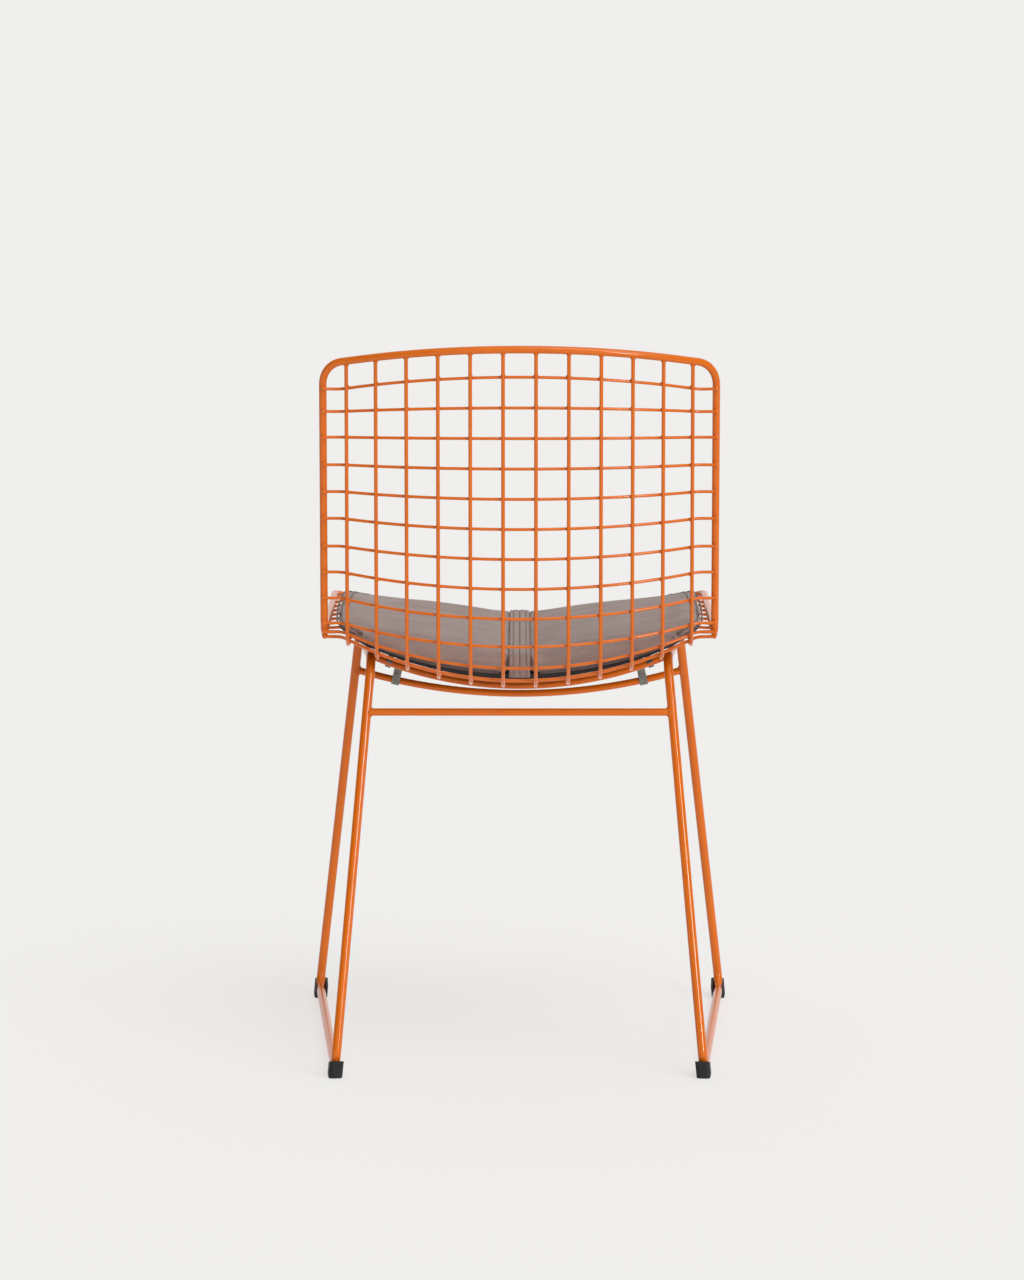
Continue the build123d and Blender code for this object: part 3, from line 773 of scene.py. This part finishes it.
# Side seams and welts
SEAM_INSETS = (0.008, 0.014)
SEAM_LIFT = -0.0003
SEAM_REACH = 0.042
SEAM_END_INSET = 0.004
SEAM_LEAD_FROM = 0.018
SEAM_LEAD = 0.024
DROP_FROM = 0.06
WELT_WIDTH = 0.0020
WELT_INSET = 0.0035
WELT_LIFT = 0.0008
WELT_START = 0.010
# Lining
LINING_RINGS = 40
LINING_THICK = 0.0008
LINING_LIFT = 0.0009
LINING_WAVER = 0.0003
LINING_LIFT_MOST = 0.0019
CLIP_LIFT = 0.0012
CLIP_REACH = 0.012
TURN_UP = ((0.0066, 0.25), (0.0062, 0.6), (0.0060, 1.0))
TURN_UP_LEAST = 0.0012


def on_seat(x, s, h, level=panel_in):
    """Point over the curved seat."""
    return pad_origin + X * x + seat_out * s + seat_up * (level + rise(SHELL_RADIUS - level, x) + h)


def seat_place(point):
    """The pad's own x, s and h of a point."""
    away = point - pad_origin
    x = away.x
    return x, away.dot(seat_out), away.dot(seat_up) - panel_in - rise(SHELL_RADIUS - panel_in, x)


def cushion_top(x, s):
    """Height of the cushions: fullest a third of the way out, thin at the sides and front corners."""
    out = max(0.0, abs(x) - STRIP_EDGE) / (PAD_HALF - STRIP_EDGE)
    ahead = min(1.0, max(0.0, (s / pad_length - CORNER_FROM) / CORNER_RUN))
    corner = CORNER_FALL * out ** 3 * ahead ** 2 * (3 - 2 * ahead)
    full = FULLNESS * sin(pi * min(1.0, out * FULLNESS_REACH))
    return CROWN + full - FALL * out ** FALL_POWER - corner


def base_top(x):
    """Height of the black base band under the leather."""
    return BASE_BAND * max(0.0, 1 - (x / BASE_HALF) ** 2) + BASE_EDGE


def rounded_outline(x_low, x_high, s_low, s_high, radii):
    """Closed, evenly divided outline with its own radius at each corner and bulging sides."""
    outline = []
    corners = ((x_low, s_low, pi), (x_high, s_low, 1.5 * pi),
               (x_high, s_high, 0.0), (x_low, s_high, 0.5 * pi))
    for (x, s, start), radius in zip(corners, radii):
        cx = x + radius if x == x_low else x - radius
        cs = s + radius if s == s_low else s - radius
        for part in range(CORNER_STEPS + 1):
            angle = start + 0.5 * pi * part / CORNER_STEPS
            outline.append((cx + radius * cos(angle), cs + radius * sin(angle)))
    even = []
    for (x, s), (x_next, s_next) in zip(outline, outline[1:] + outline[:1]):
        count = max(1, round(sqrt((x_next - x) ** 2 + (s_next - s) ** 2) / OUTLINE_STEP))
        even.extend((x + (x_next - x) * p / count, s + (s_next - s) * p / count) for p in range(count))
    bulged = []
    for x, s in even:
        midway = sin(pi * max(0.0, min(1.0, s / pad_length)))
        bulged.append((x + SIDE_BULGE * (x / PAD_HALF) ** 3 * midway, s))
    return bulged


def cushion_outline(inset):
    """Plan of the right cushion, drawn in by an inset on its outer sides."""
    return rounded_outline(
        STRIP_EDGE, PAD_HALF - inset, inset, pad_length - inset,
        (INNER_ROUND, REAR_ROUND - inset, FRONT_ROUND - inset, INNER_ROUND))


def ring_faces(mesh, rows, hub):
    """Faces between rings of points and a middle point."""
    count = len(rows[0])
    for i in range(count):
        mesh.faces.new((hub, rows[0][i], rows[0][(i + 1) % count]))
    for inner, outer in zip(rows, rows[1:]):
        for i in range(count):
            mesh.faces.new((inner[i], outer[i], outer[(i + 1) % count], inner[(i + 1) % count]))


def finished_mesh(name, mesh):
    """Smooth mesh data with its faces turned outwards."""
    bmesh.ops.recalc_face_normals(mesh, faces=mesh.faces[:])
    made = bpy.data.meshes.new(name)
    mesh.to_mesh(made)
    mesh.free()
    made.polygons.foreach_set("use_smooth", [True] * len(made.polygons))
    return made


def cushion_mesh(name, side):
    """Closed pillow of one half of the pad, square along the sewn strip and soft round the other edges."""
    outline = cushion_outline(CUSHION_INSET)
    centre = ((STRIP_EDGE + PAD_HALF) / 2, pad_length / 2)
    mesh = bmesh.new()
    layers = []
    for top_side in (True, False):
        rows = []
        for ring in range(1, CUSHION_RINGS + 1):
            share = sin(0.5 * pi * ring / CUSHION_RINGS)
            row = []
            for x, s in outline:
                px = centre[0] + (x - centre[0]) * share
                ps = centre[1] + (s - centre[1]) * share
                depth = sqrt((x - px) ** 2 + (s - ps) ** 2)
                sewn = min(1.0, max(0.0, (STRIP_EDGE + SEWN_REACH - x) / SEWN_FADE))
                low, top = base_top(px), cushion_top(px, ps)
                seam = low + (top - low) * (SEAM_SHARE + SEWN_SHARE * sewn)
                reach = PILLOW_EDGE + (SEWN_EDGE - PILLOW_EDGE) * sewn if top_side else UNDER_EDGE
                arch = sqrt(1 - (1 - min(1.0, depth / reach)) ** 2)
                row.append(on_seat(px * side, ps, seam + ((top if top_side else low) - seam) * arch))
            rows.append(row)
        layers.append(rows)
    top_rows = [[mesh.verts.new(p) for p in row] for row in layers[0]]
    low_rows = [[mesh.verts.new(p) for p in row] for row in layers[1][:-1]] + [top_rows[-1]]
    top_hub = on_seat(centre[0] * side, centre[1], cushion_top(*centre))
    ring_faces(mesh, top_rows, mesh.verts.new(top_hub))
    low_hub = on_seat(centre[0] * side, centre[1], base_top(centre[0]))
    ring_faces(mesh, low_rows, mesh.verts.new(low_hub))
    return finished_mesh(name, mesh)


def swollen(piece):
    """Fills a closed pillow by cloth under pressure, with its underside and its sewn edge held."""
    remesh = piece.modifiers.new("even_faces", "REMESH")
    remesh.mode = "VOXEL"
    remesh.voxel_size = VOXEL
    remesh.use_smooth_shade = True
    settled(piece)
    held = piece.vertex_groups.new(name="held")
    start = [v.co.copy() for v in piece.data.vertices]
    for v in piece.data.vertices:
        x, _, h = seat_place(v.co)
        if h < base_top(x) + HELD_HEIGHT or abs(x) < STRIP_EDGE + HELD_WIDTH:
            held.add([v.index], 1.0, "REPLACE")
    cloth = piece.modifiers.new("filling", "CLOTH")
    cloth.settings.quality = 6
    cloth.settings.mass = 0.3
    cloth.settings.tension_stiffness = 25
    cloth.settings.compression_stiffness = 25
    cloth.settings.bending_stiffness = 0.6
    cloth.settings.use_pressure = True
    cloth.settings.uniform_pressure_force = 4.0
    cloth.settings.effector_weights.gravity = 0.0
    cloth.settings.vertex_group_mass = "held"
    cloth.collision_settings.use_collision = False
    cloth.point_cache.frame_start = 1
    cloth.point_cache.frame_end = SWELL_FRAMES
    for tick in range(1, SWELL_FRAMES + 1):
        scene.frame_set(tick)
    settled(piece)
    scene.frame_set(1)
    for v, home in zip(piece.data.vertices, start):
        move = v.co - home
        if move.length > SWELL_MOST:
            v.co = home + move * (SWELL_MOST / move.length)
    piece.vertex_groups.clear()


def rumpled(piece, seed):
    """Low creases across the seat that the leather keeps."""
    for v in piece.data.vertices:
        x, s, h = seat_place(v.co)
        if h < base_top(x) + CREASE_FROM:
            continue
        broad = noise.noise((x * 9 + seed, s * 60, 0.7))
        fine = noise.noise((x * 22, s * 130 + seed, 3.1))
        v.co += seat_up * (CREASE_HEIGHT * (broad + 0.5 * fine))


def pad_cushion(name, side, node, seed):
    """One soft half of the pad."""
    piece = new_object(name, cushion_mesh(name, side))
    swollen(piece)
    rumpled(piece, seed)
    piece.data.materials.clear()
    piece.data.materials.append(leather)
    soft = piece.modifiers.new("soft", "SUBSURF")
    soft.levels = soft.render_levels = 1
    settled(piece)
    piece.data.polygons.foreach_set("use_smooth", [True] * len(piece.data.polygons))
    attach(piece, "seat_pad")
    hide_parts(node)
    return piece


cushion_right = pad_cushion("pad_cushion_right", 1, "pad_panel_right", 1.3)
cushion_left = pad_cushion("pad_cushion_left", -1, "pad_panel_left", 7.9)


def strip_path():
    """Side view of the sewn strip: up over the rear edge, along the top and down at the front."""
    bend = STRIP_BEND
    top = CROWN - STRIP_SUNK
    rear, front = STRIP_REAR, pad_length - STRIP_SHORT
    angles = [0.5 * pi * part / STRIP_BEND_PARTS for part in range(STRIP_BEND_PARTS + 1)]
    path = [(rear, STRIP_FOOT), (rear, (top - bend) / 2)]
    for angle in angles:
        path.append((rear + bend - bend * cos(angle), top - bend + bend * sin(angle)))
    for part in range(1, STRIP_TOP_PARTS):
        path.append((rear + bend + (front - rear - 2 * bend) * part / STRIP_TOP_PARTS, top))
    for angle in angles:
        path.append((front - bend + bend * sin(angle), top - bend + bend * cos(angle)))
    return path + [(front, (top - bend) / 2), (front, STRIP_FOOT)]


def band_point(path, index, x, out):
    """Point of the strip this far out from its middle surface."""
    before = Vector(path[max(index - 1, 0)])
    after = Vector(path[min(index + 1, len(path) - 1)])
    along = (after - before).normalized()
    s, h = path[index]
    return on_seat(x, s - along.y * out, h + along.x * out)


def strip_mesh(name):
    """Sewn strip between the cushions: a band with rolled edges and a groove under each stitch row."""
    path = strip_path()
    half = PAD_STRIP / 2 + STRIP_OVERLAP
    section = []
    for part in range(BAND_PARTS + 1):
        x = -half + 2 * half * part / BAND_PARTS
        edge = min(1.0, (half - abs(x)) / BAND_ROLL)
        groove = GROOVE_DEPTH * sum(max(0.0, 1 - abs(x - row) / GROOVE_HALF) for row in STITCH_ROWS)
        section.append((x, BAND_THICK * sqrt(max(0.0, 1 - (1 - edge) ** 2)) - groove))
    mesh = bmesh.new()
    rows = []
    for index in range(len(path)):
        row = [mesh.verts.new(band_point(path, index, x, out)) for x, out in section]
        row.extend(mesh.verts.new(band_point(path, index, x, -BAND_BACK)) for x, _ in section[::-1])
        rows.append(row)
    count = len(rows[0])
    for row, after in zip(rows, rows[1:]):
        for i in range(count):
            mesh.faces.new((row[i], row[(i + 1) % count], after[(i + 1) % count], after[i]))
    mesh.faces.new(rows[0][::-1])
    mesh.faces.new(rows[-1])
    return finished_mesh(name, mesh)


pad_band = new_object("pad_band", strip_mesh("pad_band"))
pad_band.data.materials.append(leather)
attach(pad_band, "seat_pad")
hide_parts("pad_strip")


def polyline(name, lines):
    """Object that holds open lines of points."""
    points, edges = [], []
    for line in lines:
        first = len(points)
        points.extend(line)
        edges.extend((first + i, first + i + 1) for i in range(len(line) - 1))
    mesh = bpy.data.meshes.new(name)
    mesh.from_pydata(points, edges, [])
    return new_object(name, mesh)


def dropped(tree, places):
    """Line of plan places dropped on a piece from above."""
    line = []
    for x, s in places:
        hit, normal, _, _ = tree.ray_cast(on_seat(x, s, DROP_FROM), -seat_up)
        if hit is not None:
            line.append(hit + normal * SEAM_LIFT)
    return line


def strip_stitches():
    """Three rows of stitches along the strip."""
    path = strip_path()
    inner = range(1, len(path) - 1)
    lines = [[band_point(path, i, x, STITCH_LEVEL) for i in inner] for x in STITCH_ROWS]
    piece = polyline("pad_stitches", lines)
    grown(piece, stitch_rows, Pitch=STITCH_PITCH, Length=STITCH_LENGTH, Width=STITCH_WIDTH,
          Material=thread)
    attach(piece, "seat_pad")


def outer_run(inset, x_from):
    """Part of a cushion's plan outline outside this width, from the rear round the side to the front."""
    outline = cushion_outline(inset)
    start = next(i for i, (x, s) in enumerate(outline) if x >= x_from and s < pad_length / 2)
    turned = outline[start:] + outline[:start]
    return [(x, s) for x, s in turned if x >= x_from]


def side_seam(inset):
    """Plan of a sewn line along a cushion's side, led out to the edge at both its ends."""
    run = outer_run(inset, PAD_HALF - SEAM_REACH)
    led = []
    for before, (x, s), after in zip(run[:1] + run, run, run[1:] + run[-1:]):
        along = Vector((after[0] - before[0], after[1] - before[1])).normalized()
        lead = min(1.0, max(0.0, (PAD_HALF - SEAM_LEAD_FROM - x) / SEAM_LEAD))
        out = (inset - SEAM_END_INSET) * lead
        led.append((x + along.y * out, s - along.x * out))
    return led


def edge_seams(name, cushion, side):
    """Seams of one cushion: two sewn lines along its side and a welt where the leather meets the base."""
    tree = search_tree(cushion)
    lines = []
    for inset in SEAM_INSETS:
        lines.append(dropped(tree, [(x * side, s) for x, s in side_seam(inset)]))
    welt_run = outer_run(WELT_INSET, STRIP_EDGE + WELT_START)
    lines.append([on_seat(x * side, s, base_top(x) + WELT_LIFT) for x, s in welt_run])
    piece = polyline(name, lines)
    # The sewn lines and the welt carry the darker leather: painted shade of the seam grooves.
    grown(piece, edge_welt, Width=WELT_WIDTH, Material=welt_seam_shade)
    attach(piece, "seat_pad")


strip_stitches()
edge_seams("edge_seams_right", cushion_right, 1)
edge_seams("edge_seams_left", cushion_left, -1)


def lining_outline(inset):
    """Plan of the whole pad, drawn in by an inset."""
    half = PAD_HALF - inset
    radii = (REAR_ROUND - inset, REAR_ROUND - inset, FRONT_ROUND - inset, FRONT_ROUND - inset)
    return rounded_outline(-half, half, inset, pad_length - inset, radii)


def lining_mesh(name):
    """Black cloth under the cushions, lifted where a clip stands below it and turned up at its edge."""
    clip_boxes = [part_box(n) for n in nodes if n.startswith("seat_clip_")]
    outline = lining_outline(PAD_INSET)
    mesh = bmesh.new()
    rows = []
    for ring in range(1, LINING_RINGS + 1):
        row = []
        for x, s in outline:
            px = x * ring / LINING_RINGS
            ps = pad_length / 2 + (s - pad_length / 2) * ring / LINING_RINGS
            lift = LINING_LIFT + LINING_WAVER * noise.noise((px * 40, ps * 40, 1.0))
            place = on_seat(px, ps, 0.0, cloth_in)
            for low, high in clip_boxes:
                dx = max(low.x - place.x, place.x - high.x, 0.0)
                dy = max(low.y - place.y, place.y - high.y, 0.0)
                lift += CLIP_LIFT * max(0.0, 1 - sqrt(dx * dx + dy * dy) / CLIP_REACH)
            row.append(mesh.verts.new(on_seat(px, ps, min(lift, LINING_LIFT_MOST), cloth_in)))
        rows.append(row)
    for inset, share in TURN_UP:
        edge = lining_outline(inset)
        rise_up = [(x, s, (base_top(x) + panel_in - cloth_in) * share) for x, s in edge]
        nearest = [min(rise_up, key=lambda p: (p[0] - x) ** 2 + (p[1] - s) ** 2) for x, s in outline]
        rows.append([mesh.verts.new(on_seat(x, s, max(h, TURN_UP_LEAST), cloth_in)) for x, s, h in nearest])
    hub = on_seat(0.0, pad_length / 2, LINING_LIFT, cloth_in)
    ring_faces(mesh, rows, mesh.verts.new(hub))
    return finished_mesh(name, mesh)


pad_lining = new_object("pad_lining", lining_mesh("pad_lining"))
pad_lining.data.materials.append(black_cloth)
thick = pad_lining.modifiers.new("cloth_thickness", "SOLIDIFY")
thick.thickness = LINING_THICK
thick.offset = 0.0
settled(pad_lining)
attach(pad_lining, "seat_pad")
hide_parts("pad_underside")


# Floor, light and camera
BACKDROP = srgb(239, 238, 236)
FLOOR_TONE = (0.28, 0.2777, 0.2738, 1)
FLOOR_GLOW = 0.705
FLOOR_HALF = 60.0
FLOOR_LEVEL = -0.0004
ROOM_LOW = (0.26, 0.259, 0.256, 1)
ROOM_HIGH = (0.86, 0.857, 0.848, 1)
ROOM_SIDES = (0.04, 0.04, 0.04, 1)
LAMPS = (
    ("key", (0.60, -0.80, -1.2), 1.10, 44),
    ("softbox", (0.58, -0.80, -0.14), 1.00, 11),
    ("fill", (-0.05, -1.0, -0.35), 0.20, 50))
PHOTO_HEIGHT = 1280
FOCAL_PIXELS = 4078.85
SENSOR = 36.0
CAMERA_PLACE = (-0.00025, 4.46225, 0.97279)
CAMERA_DOWN = 6.6585
CAMERA_TURN = 0.00191


def pale_floor():
    """Wide pale floor that glows a little, so that it meets the backdrop unseen."""
    mesh = bpy.data.meshes.new("floor")
    corners = ((-1, -1), (1, -1), (1, 1), (-1, 1))
    mesh.from_pydata([(x * FLOOR_HALF, y * FLOOR_HALF, FLOOR_LEVEL) for x, y in corners], [], [(0, 1, 2, 3)])
    floor = new_object("floor", mesh)
    f = Finish("pale_floor", Specular_IOR_Level=0.0, Roughness=0.9, Emission_Color=BACKDROP,
               Emission_Strength=FLOOR_GLOW)
    base = f.group(tone_drift, Color=FLOOR_TONE, Amount=0.004, Scale=2.0)
    f.link("Base Color", base["Color"])
    mesh.materials.append(f.material)


def studio_light():
    """Pale room with dark sides: a wide key from the viewer's right above, a low softbox and a weak fill."""
    world = bpy.data.worlds.new("pale_room")
    scene.world = world
    world.use_nodes = True
    w = Wiring(world.node_tree)
    lit = world.node_tree.nodes["Background"]
    place = w.add("ShaderNodeTexCoord").outputs["Generated"]
    way = w.add("ShaderNodeSeparateXYZ", {"Vector": place}).outputs
    room = w.mix(w.spread(way["Z"], 0.0, 0.9, 0.0, 1.0), ROOM_LOW, ROOM_HIGH)
    aside = w.maths("ABSOLUTE", w.maths("ADD", way["X"], 0.15))
    room = w.mix(w.spread(aside, 0.25, 0.95, 0.0, 0.8), room, ROOM_SIDES)
    w.feed(lit.inputs["Color"], w.mix(w.spread(way["Y"], -0.9, -0.3, 1.0, 0.0), room, ROOM_HIGH))
    plain = w.add("ShaderNodeBackground", {"Color": BACKDROP})
    seen = w.add("ShaderNodeLightPath").outputs["Is Camera Ray"]
    both = w.add("ShaderNodeMixShader", {0: seen, 1: lit.outputs[0], 2: plain.outputs[0]})
    w.feed(world.node_tree.nodes["World Output"].inputs["Surface"], both.outputs[0])
    for name, towards, strength, angle in LAMPS:
        light = bpy.data.lights.new(name, "SUN")
        light.energy = strength
        light.angle = radians(angle)
        lamp = bpy.data.objects.new(name, light)
        lamp.rotation_euler = Vector(towards).to_track_quat("-Z", "Y").to_euler()
        scene.collection.objects.link(lamp)


def photo_camera():
    """Camera behind the chair, a little above its back."""
    data = bpy.data.cameras.new("camera")
    data.sensor_fit = "AUTO"
    data.sensor_width = SENSOR
    data.lens = SENSOR * FOCAL_PIXELS / PHOTO_HEIGHT
    data.clip_end = 200.0
    camera = bpy.data.objects.new("camera", data)
    camera.location = CAMERA_PLACE
    camera.rotation_euler = Euler((radians(90 - CAMERA_DOWN), 0.0, pi + CAMERA_TURN), "XYZ")
    scene.collection.objects.link(camera)
    scene.camera = camera


pale_floor()
studio_light()
photo_camera()
scene.view_settings.view_transform = "Standard"
